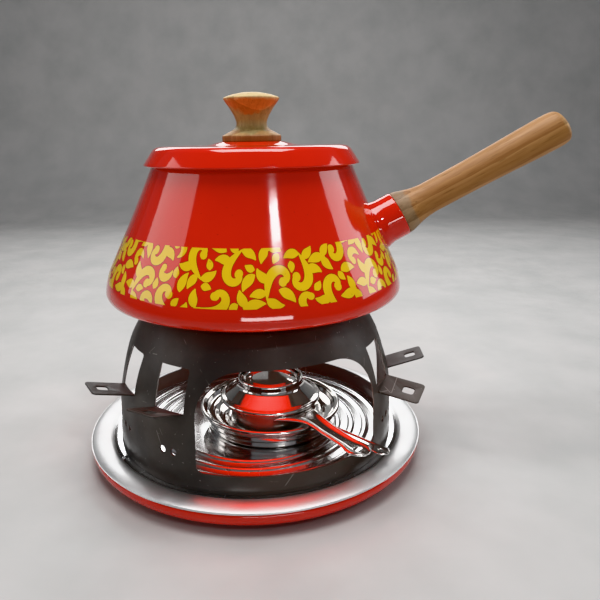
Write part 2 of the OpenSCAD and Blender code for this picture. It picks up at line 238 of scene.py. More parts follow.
class Shader:
    """A Principled material with short ways to add nodes."""

    def __init__(self, name, **inputs):
        self.material = bpy.data.materials.new(name)
        self.material.use_nodes = True
        self.tree = self.material.node_tree
        self.main = self.tree.nodes["Principled BSDF"]
        self.where = self.node("ShaderNodeTexCoord").outputs["Object"]
        self.set(self.main, inputs)

    def set(self, node, inputs):
        """Sets a node's inputs, each to a value or to another node's output."""
        for key, value in inputs.items():
            socket = node.inputs[key]
            if isinstance(value, bpy.types.NodeSocket):
                self.tree.links.new(value, socket)
            elif socket.type == "RGBA" and len(value) == 3:
                socket.default_value = (*value, 1)
            else:
                socket.default_value = value

    def node(self, kind, inputs=None, **settings):
        """Adds a node."""
        node = self.tree.nodes.new(kind)
        for key, value in settings.items():
            setattr(node, key, value)
        self.set(node, inputs or {})
        return node

    def noise(self, scale, detail=3, roughness=0.5, where=None, stretch=None):
        """Noise in the piece's own space. A scale is the number of features in a metre."""
        if where is None:
            where = self.where
        if stretch:
            where = self.node("ShaderNodeMapping", {"Vector": where, "Scale": stretch}).outputs[0]
        inputs = {"Vector": where, "Scale": scale, "Detail": detail, "Roughness": roughness}
        return self.node("ShaderNodeTexNoise", inputs).outputs["Fac"]

    def remap(self, value, low, high, to_low=0.0, to_high=1.0):
        """Stretches a value from one range to another, and clips it."""
        inputs = {"Value": value, "From Min": low, "From Max": high, "To Min": to_low, "To Max": to_high}
        return self.node("ShaderNodeMapRange", inputs).outputs[0]

    def math(self, operation, a, b=0.0):
        """A sum, a product or the like of two values."""
        return self.node("ShaderNodeMath", {0: a, 1: b}, operation=operation).outputs[0]

    def mix(self, factor, a, b):
        """Mixes two colours."""
        node = self.node("ShaderNodeMix", data_type="RGBA")
        for socket, value in ((node.inputs[0], factor), (node.inputs[6], a), (node.inputs[7], b)):
            if isinstance(value, bpy.types.NodeSocket):
                self.tree.links.new(value, socket)
            elif isinstance(value, tuple):
                socket.default_value = (*value, 1)
            else:
                socket.default_value = value
        return node.outputs[2]

    def radius_and_height(self):
        """Distance from the piece's Z axis, and height."""
        parts = self.node("ShaderNodeSeparateXYZ", {0: self.where}).outputs
        squares = [self.math("MULTIPLY", parts[axis], parts[axis]) for axis in (0, 1)]
        return self.math("SQRT", self.math("ADD", *squares)), parts[2]

    def scratches(self, scale=25, width=0.004, keep=0.55, seed=0.0):
        """Thin wandering lines, broken into short lengths."""
        lines = self.node("ShaderNodeMapping", {"Vector": self.where, "Location": (seed, seed * 2, 0),
                                                "Rotation": (0.4, 0.9, 0.6 + seed), "Scale": (1, 0.35, 1)})
        cells = self.node("ShaderNodeTexVoronoi", {"Vector": lines.outputs[0], "Scale": scale},
                          feature="DISTANCE_TO_EDGE")
        line = self.remap(cells.outputs["Distance"], 0, width, 1, 0)
        broken = self.remap(self.noise(scale * 3, 2, where=lines.outputs[0]), keep, keep + 0.03)
        return self.math("MULTIPLY", line, broken)

    def bump(self, height, strength, distance_mm, under=None):
        """The surface's direction on fine relief, which may lie over coarser relief."""
        inputs = {"Height": height, "Strength": strength, "Distance": distance_mm * MM}
        if under is not None:
            inputs["Normal"] = under
        return self.node("ShaderNodeBump", inputs).outputs[0]

    def finish(self, **inputs):
        """Sets the last inputs and gives the material."""
        self.set(self.main, inputs)
        return self.material


def enamel(name, colour, dark):
    """Fired enamel: deep gloss with a slight waviness, pinholes and fine scratches."""
    s = Shader(name)
    cloud = s.remap(s.noise(18, 4), 0.35, 0.7)
    pits = s.remap(s.noise(900, 1), 0.74, 0.80)
    marks = s.scratches(30, 0.003, 0.62)
    tint = s.mix(s.math("MULTIPLY", cloud, 0.35), colour, dark)
    tint = s.mix(s.math("MULTIPLY", pits, 0.4), tint, (0.10, 0.01, 0.005))
    waves = s.bump(s.noise(70, 2), 0.10, 0.35)
    normal = s.bump(s.math("SUBTRACT", marks, pits), 0.12, 0.05, waves)
    rough = s.remap(s.noise(45, 5), 0.35, 0.75, 0.05, 0.14)
    rough = s.math("ADD", rough, s.math("MULTIPLY", marks, 0.25))
    return s.finish(**{"Base Color": tint, "Roughness": rough, "Normal": normal, "Coat Weight": 0.6,
                       "Coat Roughness": 0.02, "Coat Normal": waves, "Specular IOR Level": 0.55})


CROWN = 0.10  # fall of the tray's floor towards its edge, in its shading only


def bright_metal(name, colour, rough_low, rough_high, rings_mm=0.0, brushed_from=0.0):
    """Polished metal with smudges and scratches.

    It can have spun rings, and a brushed rim from a radius out, with a slightly crowned floor inside it.
    """
    s = Shader(name, Metallic=1.0)
    smudges = s.noise(40, 6, 0.6)
    marks = s.scratches(35, 0.004, 0.55, 0.3)
    tint = s.mix(s.remap(smudges, 0.4, 0.8, 0, 0.45), colour, tuple(c * 0.72 for c in colour))
    rough = s.remap(smudges, 0.35, 0.75, rough_low, rough_high)
    rough = s.math("ADD", rough, s.math("MULTIPLY", marks, 0.2))
    height = s.math("ADD", s.noise(300, 3), s.math("MULTIPLY", marks, 0.6))
    normal = s.bump(height, 0.06, 0.03)
    radius, _ = s.radius_and_height()
    if brushed_from:
        rim = s.remap(radius, (brushed_from - 1) * MM, (brushed_from + 1) * MM)
        rough = s.math("ADD", rough, s.math("MULTIPLY", rim, 0.26))
        fall = s.math("MULTIPLY", s.math("MINIMUM", radius, brushed_from * MM), -CROWN)
        normal = s.bump(fall, 1.0, 1 / MM, normal)
    if rings_mm:
        wobble = s.math("MULTIPLY", s.noise(60, 2), 0.5 * rings_mm * MM)
        turns = s.math("DIVIDE", s.math("ADD", radius, wobble), rings_mm * MM)
        lines = s.noise(1, 4, 0.8, where=s.node("ShaderNodeCombineXYZ", {0: turns}).outputs[0])
        normal = s.bump(lines, 0.14, 0.02, normal)
    return s.finish(**{"Base Color": tint, "Roughness": rough, "Normal": normal})


def sheet_paint():
    """Dark semi-matte paint with rubbed patches, specks and pale scratches."""
    s = Shader("dark_paint", **{"Specular IOR Level": 0.45})
    patches = s.remap(s.noise(28, 5, 0.6), 0.38, 0.72)
    warm = s.remap(s.noise(9, 2), 0.45, 0.62)
    tint = s.mix(patches, (0.060, 0.055, 0.052), (0.098, 0.090, 0.082))
    tint = s.mix(s.math("MULTIPLY", warm, 0.5), tint, (0.095, 0.070, 0.056))
    marks = s.math("MAXIMUM", s.scratches(22, 0.006, 0.60), s.scratches(45, 0.006, 0.66, 1.3))
    specks = s.remap(s.noise(700, 1), 0.755, 0.80)
    light = s.math("MAXIMUM", marks, specks)
    tint = s.mix(s.math("MULTIPLY", light, 0.7), tint, (0.36, 0.34, 0.31))
    rough = s.remap(s.noise(60, 4), 0.3, 0.7, 0.36, 0.55)
    normal = s.bump(s.noise(500, 3), 0.25, 0.06)
    normal = s.bump(light, 0.3, 0.05, normal)
    return s.finish(**{"Base Color": tint, "Roughness": rough, "Normal": normal})


def turned_wood(name, pale, dark, pith, colour_bands):
    """Wood turned about Z: growth rings round a pith to one side, fibres and pores.

    A colour band is a height range in mm, the lean of its edges to both sides, a colour and a strength; on
    the knob the bands paint light and shade.
    """
    s = Shader(name, **{"Specular IOR Level": 0.35})
    inputs = {"Vector": s.where, "Location": (*pith, 0), "Scale": (1, 1, 0.16)}
    grain = s.node("ShaderNodeMapping", inputs).outputs[0]
    rings = s.node("ShaderNodeTexWave", {"Vector": grain, "Scale": 34, "Distortion": 3.2, "Detail": 3,
                                         "Detail Scale": 1.4, "Detail Roughness": 0.6},
                   wave_type="RINGS", rings_direction="Z", wave_profile="SAW").outputs["Fac"]
    fibres = s.noise(420, 5, 0.65, stretch=(1, 1, 0.05))
    pores = s.remap(s.noise(1500, 2, stretch=(1, 1, 0.04)), 0.62, 0.72)
    shade = s.math("ADD", s.math("MULTIPLY", rings, 0.32), s.math("MULTIPLY", fibres, 0.78))
    tint = s.mix(s.remap(shade, 0.28, 0.80), pale, dark)
    x, _, z = s.node("ShaderNodeSeparateXYZ", {0: s.where}).outputs
    # Colour bands by height over the grain; on the knob they are painted light and shade.
    for low, high, lean, colour, strength in colour_bands:
        height = s.math("ADD", z, s.math("MULTIPLY", s.math("ABSOLUTE", x), lean))
        height = s.math("ADD", height, s.math("MULTIPLY", s.math("SUBTRACT", s.noise(160, 4), 0.5), 0.008))
        above = s.remap(height, (low - 1) * MM, (low + 1) * MM)
        below = s.remap(height, (high - 1) * MM, (high + 1) * MM, 1, 0)
        grained = s.mix(s.remap(shade, 0.28, 0.80), colour, tuple(c * 0.55 for c in colour))
        tint = s.mix(s.math("MULTIPLY", s.math("MULTIPLY", above, below), strength), tint, grained)
    tint = s.mix(s.math("MULTIPLY", pores, 0.55), tint, tuple(c * 0.35 for c in dark))
    rough = s.remap(fibres, 0.3, 0.7, 0.42, 0.62)
    normal = s.bump(s.math("SUBTRACT", fibres, pores), 0.35, 0.15)
    return s.finish(**{"Base Color": tint, "Roughness": rough, "Normal": normal})


def dull(name, colour, other, scale, rough, **extra):
    """A plain rough material, mottled between two colours."""
    s = Shader(name, **extra)
    grain = s.noise(scale, 5, 0.7)
    tint = s.mix(s.remap(grain, 0.35, 0.65), colour, other)
    return s.finish(**{"Base Color": tint, "Roughness": s.remap(grain, 0.3, 0.7, rough - 0.1, rough + 0.1),
                       "Normal": s.bump(grain, 0.4, 0.1)})


def woven_gauze():
    """Steel gauze: two crossing sets of wires."""
    s = Shader("wick_gauze", Metallic=1.0, Roughness=0.4)
    bands = [s.node("ShaderNodeTexWave", {"Vector": s.where, "Scale": 330}, wave_type="BANDS",
                    bands_direction=way).outputs["Fac"] for way in "XY"]
    wires = s.math("MAXIMUM", *bands)
    tint = s.mix(s.remap(wires, 0.4, 0.8), (0.04, 0.035, 0.03), (0.45, 0.42, 0.38))
    return s.finish(**{"Base Color": tint, "Normal": s.bump(wires, 0.8, 0.3)})


RED = enamel("red_enamel", (0.64, 0.020, 0.005), (0.50, 0.013, 0.004))
YELLOW = enamel("yellow_print", (0.80, 0.53, 0.018), (0.70, 0.44, 0.014))
OUTLINE = enamel("print_outline", (0.30, 0.008, 0.004), (0.24, 0.006, 0.003))
TRAY = bright_metal("polished_tray", (0.80, 0.80, 0.80), 0.12, 0.26, rings_mm=0.5, brushed_from=99.5)
CHROME = bright_metal("chrome", (0.82, 0.80, 0.78), 0.05, 0.16)
STEEL = bright_metal("plain_steel", (0.56, 0.55, 0.53), 0.25, 0.45)
BRASS = bright_metal("brass", (0.70, 0.50, 0.20), 0.2, 0.4)
PAINT = sheet_paint()
WOOL = dull("absorbent_wool", (0.80, 0.77, 0.68), (0.60, 0.56, 0.47), 500, 0.85)
GAUZE = woven_gauze()
# The knob's colour bands follow which way its faces turn, so they paint light and shade on the wood: the
# greyer cone and the pale top edge face up to the light and carry painted sheen, and the deep orange
# underside of the flare faces away from it as painted shade.
KNOB_WOOD = turned_wood("knob_wood", (0.60, 0.40, 0.18), (0.36, 0.17, 0.06), (0.012, -0.03), [
    (200, 215, 0, (0.40, 0.20, 0.09), 0.8),
    (215, 229, -0.35, (0.46, 0.38, 0.19), 0.85),
    (229, 239.6, -0.35, (0.62, 0.20, 0.06), 0.8),
    (239.2, 250, 0, (0.76, 0.58, 0.28), 0.85),
])
HANDLE_WOOD = turned_wood("handle_wood", (0.46, 0.25, 0.105), (0.26, 0.12, 0.046), (0.02, 0.01), [
    (0, 26, 0, (0.34, 0.26, 0.17), 0.7),
    (142, 150, 0, (0.60, 0.38, 0.18), 0.6),
])


# ---- sizes shared with the CAD ----

TRAY_R = 114.3
FLOOR_Z = 11.5  # height of the tray's floor
STAND_R = 94
DOME_R = 97.5
DOME = (STAND_R - DOME_R, 40)  # centre of the curve of the stand's wall
OPENING_AZ = 17  # direction of the burner opening
OPENING_LOW = 22.5
OPENING_HIGH = 80.5
REST_Z = 55  # height of a fork rest's root
BURNER_X = 10
PAN_R = 49
DAMPER_EDGE = 35.6
POT_Z = 95  # height of the pot's bottom
POT_FLAT_R = 60  # where the pot's bottom starts to rise
POT_R = 100.8
NECK = (69.5, 193)  # radius and height of the top of the pot's wall
WALL_LEAN = 22.5  # lean of the pot's wall
WALL_SAG = 0.5  # how far the wall dips inwards halfway up
SLOPE = 18.9  # rise of the pot's bottom and of the stand's seat
SEAT_HOLE_R = 64
LID = (73.9, 196)  # radius and height of the lid's edge
LID_TOP = 210.8
HANDLE_Z = 151.2  # height at which the handle's axis meets the wall
HANDLE_RISE = 28.0
BAND_Z = 121  # lower edge of the scroll print
BAND_H = 31
BAND_REPEAT = 146  # length of a quarter of the print


# ---- base plate and tray ----


def base_plate():
    """A shallow plate with a rounded wall and a rolled edge."""
    rim_z = 10.7
    wall_r = 106.5
    corner = 7
    foot = rounded([(0.01, 0), (88, 0, 4), (wall_r + corner * math.cos(math.radians(-75)), 3.95)])
    wall = arc((wall_r, rim_z), corner, -74, -2, 16)
    roll = arc((wall_r + 4.6, rim_z), 2.4, 2, 250, 24)
    obj = lathe("base_plate_enamel", sheet(foot + wall + roll, 0.9), RED)
    place(obj, "base", ["base_plate"])


def ridge(r, z):
    """Half-round bead pressed up in the tray's floor."""
    return [(r - 2.2, z, 0.8), (r - 1.0, z + 1.1, 0.9), (r + 1.0, z + 1.1, 0.9), (r + 2.2, z, 0.8)]


def drip_tray():
    """A tray with pressed ridges, a wide rim and three small lugs beside the stand's foot."""
    z = FLOOR_Z - 0.8
    path = [(0.01, z)]
    for r in (58, 67.5, 77, 86.5):
        path += ridge(r, z)
    path += [(97.2, z, 1.0), (99.2, z + 1.2, 0.8)]
    rim_top = 14.25
    rim_r = 18
    rim = arc((106.5, rim_top - rim_r), rim_r, 106, 68, 16)
    outer = [(TRAY_R - 0.4, 13.2), (TRAY_R - 1.2, 13.1)]
    obj = lathe("drip_tray_metal", sheet(rounded(path, 0.8) + rim + outer, 0.75), TRAY, segments=256)
    place(obj, "tray", ["drip_tray"])
    for i in range(3):
        lug = lathe(f"tray_lug_{i + 1}", arc((0, 0), 1.3, 0, 90, 8), TRAY, closed=False, segments=32)
        lug.data.transform(Matrix.Diagonal((1, 1.6, 1.1, 1)))
        shift(lug, 0, -STAND_R - 3, FLOOR_Z)
        lug.data.transform(turned(62 + 120 * i))
        place(lug, "tray")


# ---- stand ----


def arched(half, corner=28, foot=4):
    """Outline of an opening of a half width: (across, height) points."""
    low = OPENING_LOW + foot
    high = OPENING_HIGH - corner
    return (arc((-half + foot, low), foot, 180, 270, 6)
            + arc((half - foot, low), foot, -90, 0, 6)
            + arc((half - corner, high), corner, 0, 90, 24)
            + arc((-half + corner, high), corner, 90, 180, 24))


def wall_cutter(outline, azimuth, near=40):
    """A cutter that goes outwards through the stand's wall."""
    cutter = prism("cutter", outline, near, STAND_R + 18, PAINT)
    cutter.data.transform(Matrix.Rotation(math.radians(90), 4, "X"))
    cutter.data.transform(turned(azimuth))
    return cutter


def stand_path():
    """Outer face of the stand, from its foot to the seat under the pot."""
    slope = math.radians(SLOPE)
    # u runs up the seat, n stands square on it, and a bend joins the seat to the dome
    u = np.array([math.cos(slope), math.sin(slope)])
    n = np.array([-math.sin(slope), math.cos(slope)])
    bend = 4
    line = np.array([POT_FLAT_R, POT_Z]) - (bend + 0.05) * n
    q = line - np.array(DOME)
    b = q @ u
    centre = np.array(DOME) + q + u * (-b + math.sqrt(b * b - q @ q + (DOME_R - bend) ** 2))
    top = math.degrees(math.atan2(centre[1] - DOME[1], centre[0] - DOME[0]))
    seat = centre + bend * n
    wall = [(STAND_R, z) for z in np.linspace(FLOOR_Z + 0.05, DOME[1], 8)][:-1]
    return (wall + arc(DOME, DOME_R, 0, top, 40) + arc(centre, bend, top, 90 + SLOPE, 12)[1:]
            + [tuple(seat - u * (seat[0] - SEAT_HOLE_R) / u[0])])


# Each fork rest: direction from the burner opening's centre, tilt and twist in degrees
FORK_RESTS = [(-48.4, 19.8, 0), (-76, 15.2, 0), (47.7, -7, 10), (69, 17.4, 0), (166, 12, 0), (-166, 9, 0)]


def fork_rest(tilt, twist, azimuth, number):
    """A tongue bent out of the wall, and perhaps a little out of line."""
    half = 10.5
    length = 26
    corner = 2.5
    hole_at = 17.3
    hole_r = 3.8
    outline = (arc((-half + corner, -length + corner), corner, 180, 270, 6)
               + arc((half - corner, -length + corner), corner, -90, 0, 6) + [(half, 0), (-half, 0)])
    tongue = prism("tongue", outline, 0, 1, PAINT)
    hole = prism("hole", [(x, y - hole_at) for x, y in squared_hole(hole_r)], -3, 3, PAINT)
    cut(tongue, [hole])
    root = DOME[0] + math.sqrt(DOME_R**2 - (REST_Z - DOME[1]) ** 2) - 0.5
    shift(tongue, turn=Matrix.Rotation(math.radians(-twist), 4, "Y"))
    shift(tongue, 0, -root, REST_Z - 0.7 - 0.15 * twist, Matrix.Rotation(math.radians(-tilt), 4, "X"))
    tongue.data.transform(turned(azimuth))
    tongue.name = f"fork_rest_{number}"
    bevel(tongue, 0.2)
    place(tongue, "stand")


def squared_hole(r):
    """A square hole with well rounded corners."""
    c = r * 0.45
    side = r * 0.95
    out = []
    for x, y, start in ((1, 1, 0), (-1, 1, 90), (-1, -1, 180), (1, -1, 270)):
        out += arc((x * (side - c), y * (side - c)), c, start, start + 90, 5)
    return out


def stand():
    """A domed shell with three openings, and a window and two vents at each fork rest."""
    shell = lathe("stand_sheet", sheet(stand_path(), 1.0), PAINT, segments=288)
    cutters = [wall_cutter(arched(56), OPENING_AZ)]
    for turn in (121, -121):
        cutters.append(wall_cutter(arched(52), OPENING_AZ + turn))
    top = 79.7
    window = rounded([(-11, REST_Z, 0.4), (11, REST_Z, 0.4), (11, top, 2.5), (-11, top, 0.8)], closed=True)
    for turn, _, _ in FORK_RESTS:
        cutters.append(wall_cutter(window, OPENING_AZ + turn))
        for side in (-4.2, 4.2):
            vent = arc((side, 31.5), 2.1, 0, 360, 20)[:-1]
            cutters.append(wall_cutter(vent, OPENING_AZ + turn, near=80))
    cut(shell, cutters)
    shell.data.set_sharp_from_angle(angle=math.radians(SHARP))
    place(shell, "stand", ["stand_shell"])
    for i, (turn, tilt, twist) in enumerate(FORK_RESTS):
        fork_rest(tilt, twist, OPENING_AZ + turn, i + 1)


# ---- burner ----


def at_burner(obj, body, stands_for=(), azimuth=None):
    """Places a piece made about the burner's own axis."""
    turn = turned(azimuth) if azimuth is not None else None
    return place(shift(obj, BURNER_X, turn=turn), body, stands_for)


def burner_pan():
    """A pan with a stepped side and a rolled lip, and the steps that show inside it."""
    z = FLOOR_Z + 0.05
    top = 24.2
    path = [(0.01, z), (PAN_R - 6.5, z, 1.2), (PAN_R - 4.6, z + 1.6, 0.9), (PAN_R - 4.4, z + 4.8, 0.7),
            (PAN_R - 3.5, z + 5.7, 0.5), (PAN_R - 3.4, z + 8.6, 0.7), (PAN_R - 2.6, z + 9.4, 0.5),
            (PAN_R - 2.6, top, 0.8)]
    lip = arc((PAN_R - 0.9, top), 0.8, 150, -60, 12)
    obj = lathe("burner_pan_chrome", sheet(rounded(path, 0.7) + lip, 0.6), CHROME)
    at_burner(obj, "burner", ["burner_pan"])
    inner = [(0.01, z + 1.6), (30, z + 1.6), (33, z + 4.5), (37, z + 5.2), (40, z + 8.4), (44.2, z + 9.2),
             (45.4, top - 0.6)]
    step = lathe("pan_inner_steps", sheet(rounded(inner, 1.2), 0.4), CHROME)
    at_burner(step, "burner")


def damper():
    """A collar on a cone with a rolled edge."""
    collar = [(21.25, 29.4), (21.25, 43.0), (21.7, 44.2), (22.6, 44.4), (23.2, 43.4), (23.2, 40.0, 0.8),
              (24.0, 38.3, 0.8), (DAMPER_EDGE - 3.6, 31.9, 1.2), (DAMPER_EDGE - 2.0, 31.6)]
    edge = arc((DAMPER_EDGE - 1.75, 30.3), 1.7, 100, -100, 14)
    path = rounded(collar, 0.6) + edge
    obj = lathe("damper_chrome", sheet(path, -0.35), CHROME)
    at_burner(obj, "damper", ["damper_ring"])


def snuffer_cap():
    """The loose cap in the collar."""
    path = [(0.01, 41.2), (13, 41.2, 2), (15, 40.4, 1), (18.4, 40.1, 1), (19.4, 41.4, 0.6), (19.5, 42.6)]
    obj = lathe("snuffer_cap_chrome", sheet(rounded(path, 1), 0.6), CHROME, segments=128)
    at_burner(obj, "snuffer", ["snuffer_cap"])


def strip_handle(name, stations, droop, wall):
    """A pressed handle along -Y: stations of (distance, half width, height, depth of the channel).

    Its edges droop a little.
    """
    across = np.linspace(-1, 1, 25)
    fine = smooth_through(stations, 8)
    verts = []
    for s, half, z, depth in fine:
        for t in across:
            side = 0.5 - 0.5 * math.cos(math.pi * min(1, abs(t) * 1.25) ** 3)
            verts.append((t * half, -s, z + depth * side - droop * abs(t) ** 8))
    n = len(across)
    faces = []
    for i in range(len(fine) - 1):
        for j in range(n - 1):
            a = i * n + j
            faces.append((a, a + 1, a + n + 1, a + n))
    obj = build(name, verts, faces, CHROME, 60)
    thicken(obj, wall)
    return obj


def round_end(start, half, height, depth):
    """Stations that close a handle with a round tip."""
    return [(start + half * math.sin(a), half * math.cos(a), height, depth * math.cos(a))
            for a in np.radians(np.linspace(0, 86, 7))]


def tip_hole(handle, at, r, steps, stretch=1.0):
    """Cuts a hole, perhaps a wide one, through a handle."""
    outline = [(x * stretch, y - at) for x, y in arc((0, 0), r, 0, 360, steps)[:-1]]
    cut(handle, [prism("hole", outline, 15, 35, CHROME)])


def damper_handle():
    """A channel strip with a wide root, a round tip and a hole."""
    stations = [(30.5, 20, 28.5, 0.1), (33.5, 17, 28.5, 0.3), (40, 12, 28.4, 0.8), (47, 8.4, 28.2, 1.2),
                (54, 7.1, 27.5, 1.4), (62, 6.7, 26.5, 1.4), (72, 6.6, 26.0, 1.3), (80, 6.8, 25.8, 1.1),
                (84.5, 7.9, 25.7, 0.9)]
    stations += round_end(88, 8.4, 25.7, 0.8)
    handle = strip_handle("damper_handle_chrome", stations, 1.1, 0.7)
    tip_hole(handle, 88.5, 2.7, 24, 1.25)
    at_burner(handle, "damper", ["damper_handle"], 37.5)


def pan_handle():
    """A narrow strip with a hole near its tip."""
    stations = [(46.9, 11, 23.5, 0.2), (52, 7, 23.6, 0.4), (60, 4.8, 23.7, 0.5), (80, 4.6, 23.7, 0.5),
                (90, 4.8, 23.7, 0.5), (96, 5.0, 23.7, 0.4)]
    stations += round_end(97, 5, 23.7, 0.4)[1:]
    handle = strip_handle("pan_handle_chrome", stations, 0.5, 0.5)
    tip_hole(handle, 96.5, 1.8, 20)
    at_burner(handle, "burner", ["pan_handle"], 44.8)


# ---- pot ----


def pot_path():
    """Outer face of the pot, from the middle of its bottom to the neck."""
    slope = math.radians(SLOPE)
    corner_h = 18.5  # height of the widest part over the bottom
    r = (corner_h * math.cos(slope) - (POT_R - POT_FLAT_R) * math.sin(slope)) / (1 - math.sin(slope))
    corner = np.array([POT_R - r, POT_Z + corner_h])
    joint = 6  # angle at which the corner's arc meets the belly's
    belly_r = 50
    outwards = np.array([math.cos(math.radians(joint)), math.sin(math.radians(joint))])
    belly = arc(corner + (r - belly_r) * outwards, belly_r, joint, WALL_LEAN, 16)[1:]
    low = np.array(belly[-1])
    high = np.array(NECK)
    wall = []
    for t in np.linspace(0, 1, 24)[1:]:
        x, z = low + (high - low) * t
        wall.append((x - WALL_SAG * math.sin(math.pi * t), z))
    flat = [(0.01, POT_Z), (POT_FLAT_R - 4, POT_Z), (POT_FLAT_R + 1, POT_Z + 0.25)]
    return flat + arc(corner, r, SLOPE - 90, joint, 20) + belly + wall


POT_WALL = [p for p in pot_path() if p[1] >= POT_Z + 18]


def pot_radius(z):
    """Radius of the pot's wall at a height above its widest part."""
    return float(np.interp(z, [p[1] for p in POT_WALL], [p[0] for p in POT_WALL]))


def pot():
    """A pot of sheet metal with a rolled rim."""
    outer = pot_path() + [(68.9, 194.6), (68.7, 195.8)]
    skin = sheet(outer, 1.2)
    rim = arc((69.0, 197.0), 1.5, -60, 150, 14)
    outline = skin[:len(outer)] + rim + skin[len(outer):]
    place(lathe("pot_enamel", outline, RED, segments=256), "pot", ["pot_body"])


def on_handle_axis(obj):
    """Places a piece turned about its own Z on the handle's axis, its zero at the pot's wall."""
    wall_r = NECK[0] + (NECK[1] - HANDLE_Z) * math.tan(math.radians(WALL_LEAN))
    start = Matrix.Translation(Vector((wall_r, 0, HANDLE_Z)) * MM)
    obj.matrix_world = start @ Matrix.Rotation(math.radians(90 - HANDLE_RISE), 4, "Y")
    return obj


def handle():
    """The enamelled socket on the wall and the turned wooden handle in it."""
    socket = [(13.6, -8), (17.6, -8), (17.2, 0.5), (16.4, 2.6, 1.5), (15.8, 5.5), (15.8, 16.9, 0.5),
              (15.2, 17.5, 0.4), (14.4, 17.4), (14.3, 3)]
    obj = lathe("handle_socket_enamel", rounded(socket, 0.8), RED, segments=128)
    place(on_handle_axis(obj), "pot", ["handle_socket"])
    side = [(15.2, 17.6), (15.0, 20.5), (13.7, 24.8), (12.0, 31), (11.1, 37.5), (10.9, 44.5), (11.0, 65.5),
            (11.2, 80.5), (11.8, 103.5), (12.3, 120), (12.5, 133), (12.2, 140), (11.0, 143.6), (8.0, 145.3),
            (4.0, 145.9), (0.01, 146)]
    outline = [(0.01, 8), (14.0, 8), (14.0, 17.6)] + smooth_through(side, 6)
    obj = lathe("handle_wood_turned", outline, HANDLE_WOOD, closed=False, segments=96)
    place(on_handle_axis(obj), "pot", ["wood_handle"])


# ---- scroll print ----


def stroke(at, heading, length, width, turn=0, tighten=1.0, blunt=0.0):
    """A brush stroke: rows of centre, side direction and half width.

    It turns mostly near its end if tighten is over 1. Its end is pointed, or round and full if it is blunt.
    """
    steps = max(6, round(length / 1.1))
    s = np.linspace(0, 1, steps + 1)
    angle = np.radians(heading + turn * s**tighten)
    ahead = np.stack([np.cos(angle), np.sin(angle)], 1)
    centre = np.array(at) + length * np.vstack([[0, 0], np.cumsum((ahead[1:] + ahead[:-1]) / 2, 0) / steps])
    pointed = np.sin(math.pi * s**0.8)
    swelling = np.sin(0.5 * math.pi * np.minimum(1, s / 0.55)) * (1 - 0.45 * np.maximum(0, s - 0.55) / 0.45)
    half = width / 2 * ((1 - blunt) * pointed + blunt * swelling)
    return np.hstack([centre, np.stack([-ahead[:, 1], ahead[:, 0]], 1), half[:, None]])


def disc(at, r):
    """A round blob."""
    a = np.linspace(0, math.pi, 9)
    centre = np.array(at) + np.stack([-r * np.cos(a), 0 * a], 1)
    sideways = np.stack([0 * a, 0 * a + 1], 1)
    return np.hstack([centre, sideways, r * np.sin(a)[:, None]])


def curl(at, heading, length, width, turn, tighten=2.0):
    """A scroll with a round blob at its end."""
    body = stroke(at, heading, length, width, turn, tighten, 1.0)
    return [body, disc(body[-1, :2], width * 0.48)]


def hook(side):
    """A tall scroll with a forked tail and two leaves on its back."""
    return (curl((0, -9), 90 - side * 15, 29, 4.6, side * 265, 2.6)
            + [stroke((0, -8), 90 + side * 125, 10, 4.6, -side * 60),
               stroke((side * 1.2, 1), 90 - side * 100, 10, 4.6, side * 70),
               stroke((side * 1, -6), 90 - side * 95, 9, 4.4, -side * 40)])


def palmette(side):
    """Two curls back to back over a leaf."""
    return (curl((0, -1), 60, 15, 3.3, -235, 1.5) + curl((0, -1), 120, 15, 3.3, 235, 1.5)
            + [stroke((0, 5), 270, 15, 5.4), stroke((0, -6), 270 + side * 55, 11, 4.6, side * 60)])


def branch(side):
    """A bent stem with leaves on both sides and a blob."""
    return (curl((0, -8), 90, 18, 3.8, -side * 190, 2.0)
            + [stroke((0, -2), 90 + side * 60, 11, 4.8, side * 50),
               stroke((0, -8), 90 + side * 100, 9, 4.4, side * 40),
               stroke((0, -7), 270, 9, 4.2, -side * 60)])


def trefoil(side):
    """Three leaves from one point."""
    return [stroke((0, -2), 90, 11, 4.8, side * 30), stroke((0, -1), 90 + 110, 9.5, 4.6, side * 40),
            stroke((0, -1), 90 - 115, 8.5, 4.4, -side * 30), disc((0, -1), 1.9)]


def comma(side):
    """A small scroll."""
    return curl((0, -4), 90, 14, 3.9, side * 215, 1.5)


def leaf(side):
    """A bent leaf."""
    return [stroke((0, -5), 90, 11, 4.8, side * 50)]


def drop(side):
    """A short leaf that fills a gap."""
    return [stroke((0, -2.5), 90, 6, 3.6, side * 30)]


def placed(strokes, at, turn):
    """The strokes of a motif, turned and put at a place in the band."""
    c, s = math.cos(turn), math.sin(turn)
    spin = np.array([[c, s], [-s, c]])
    return [np.hstack([st[:, :2] @ spin + np.array(at), st[:, 2:4] @ spin, st[:, 4:]]) for st in strokes]


def inked(strokes, cell):
    """Grid cells that strokes cover."""
    rows = np.concatenate(strokes)
    lanes = [rows[:, :2] + rows[:, 2:4] * rows[:, 4:] * t for t in np.linspace(-1, 1, 9)]
    spots = np.concatenate(lanes)
    return np.unique(np.floor(spots / cell).astype(int), axis=0)


# The motifs of the print, large ones first, and how often each is tried
MOTIFS = [(hook, 900), (palmette, 500), (branch, 900), (trefoil, 900),
          (comma, 1200), (leaf, 1500), (drop, 2500)]


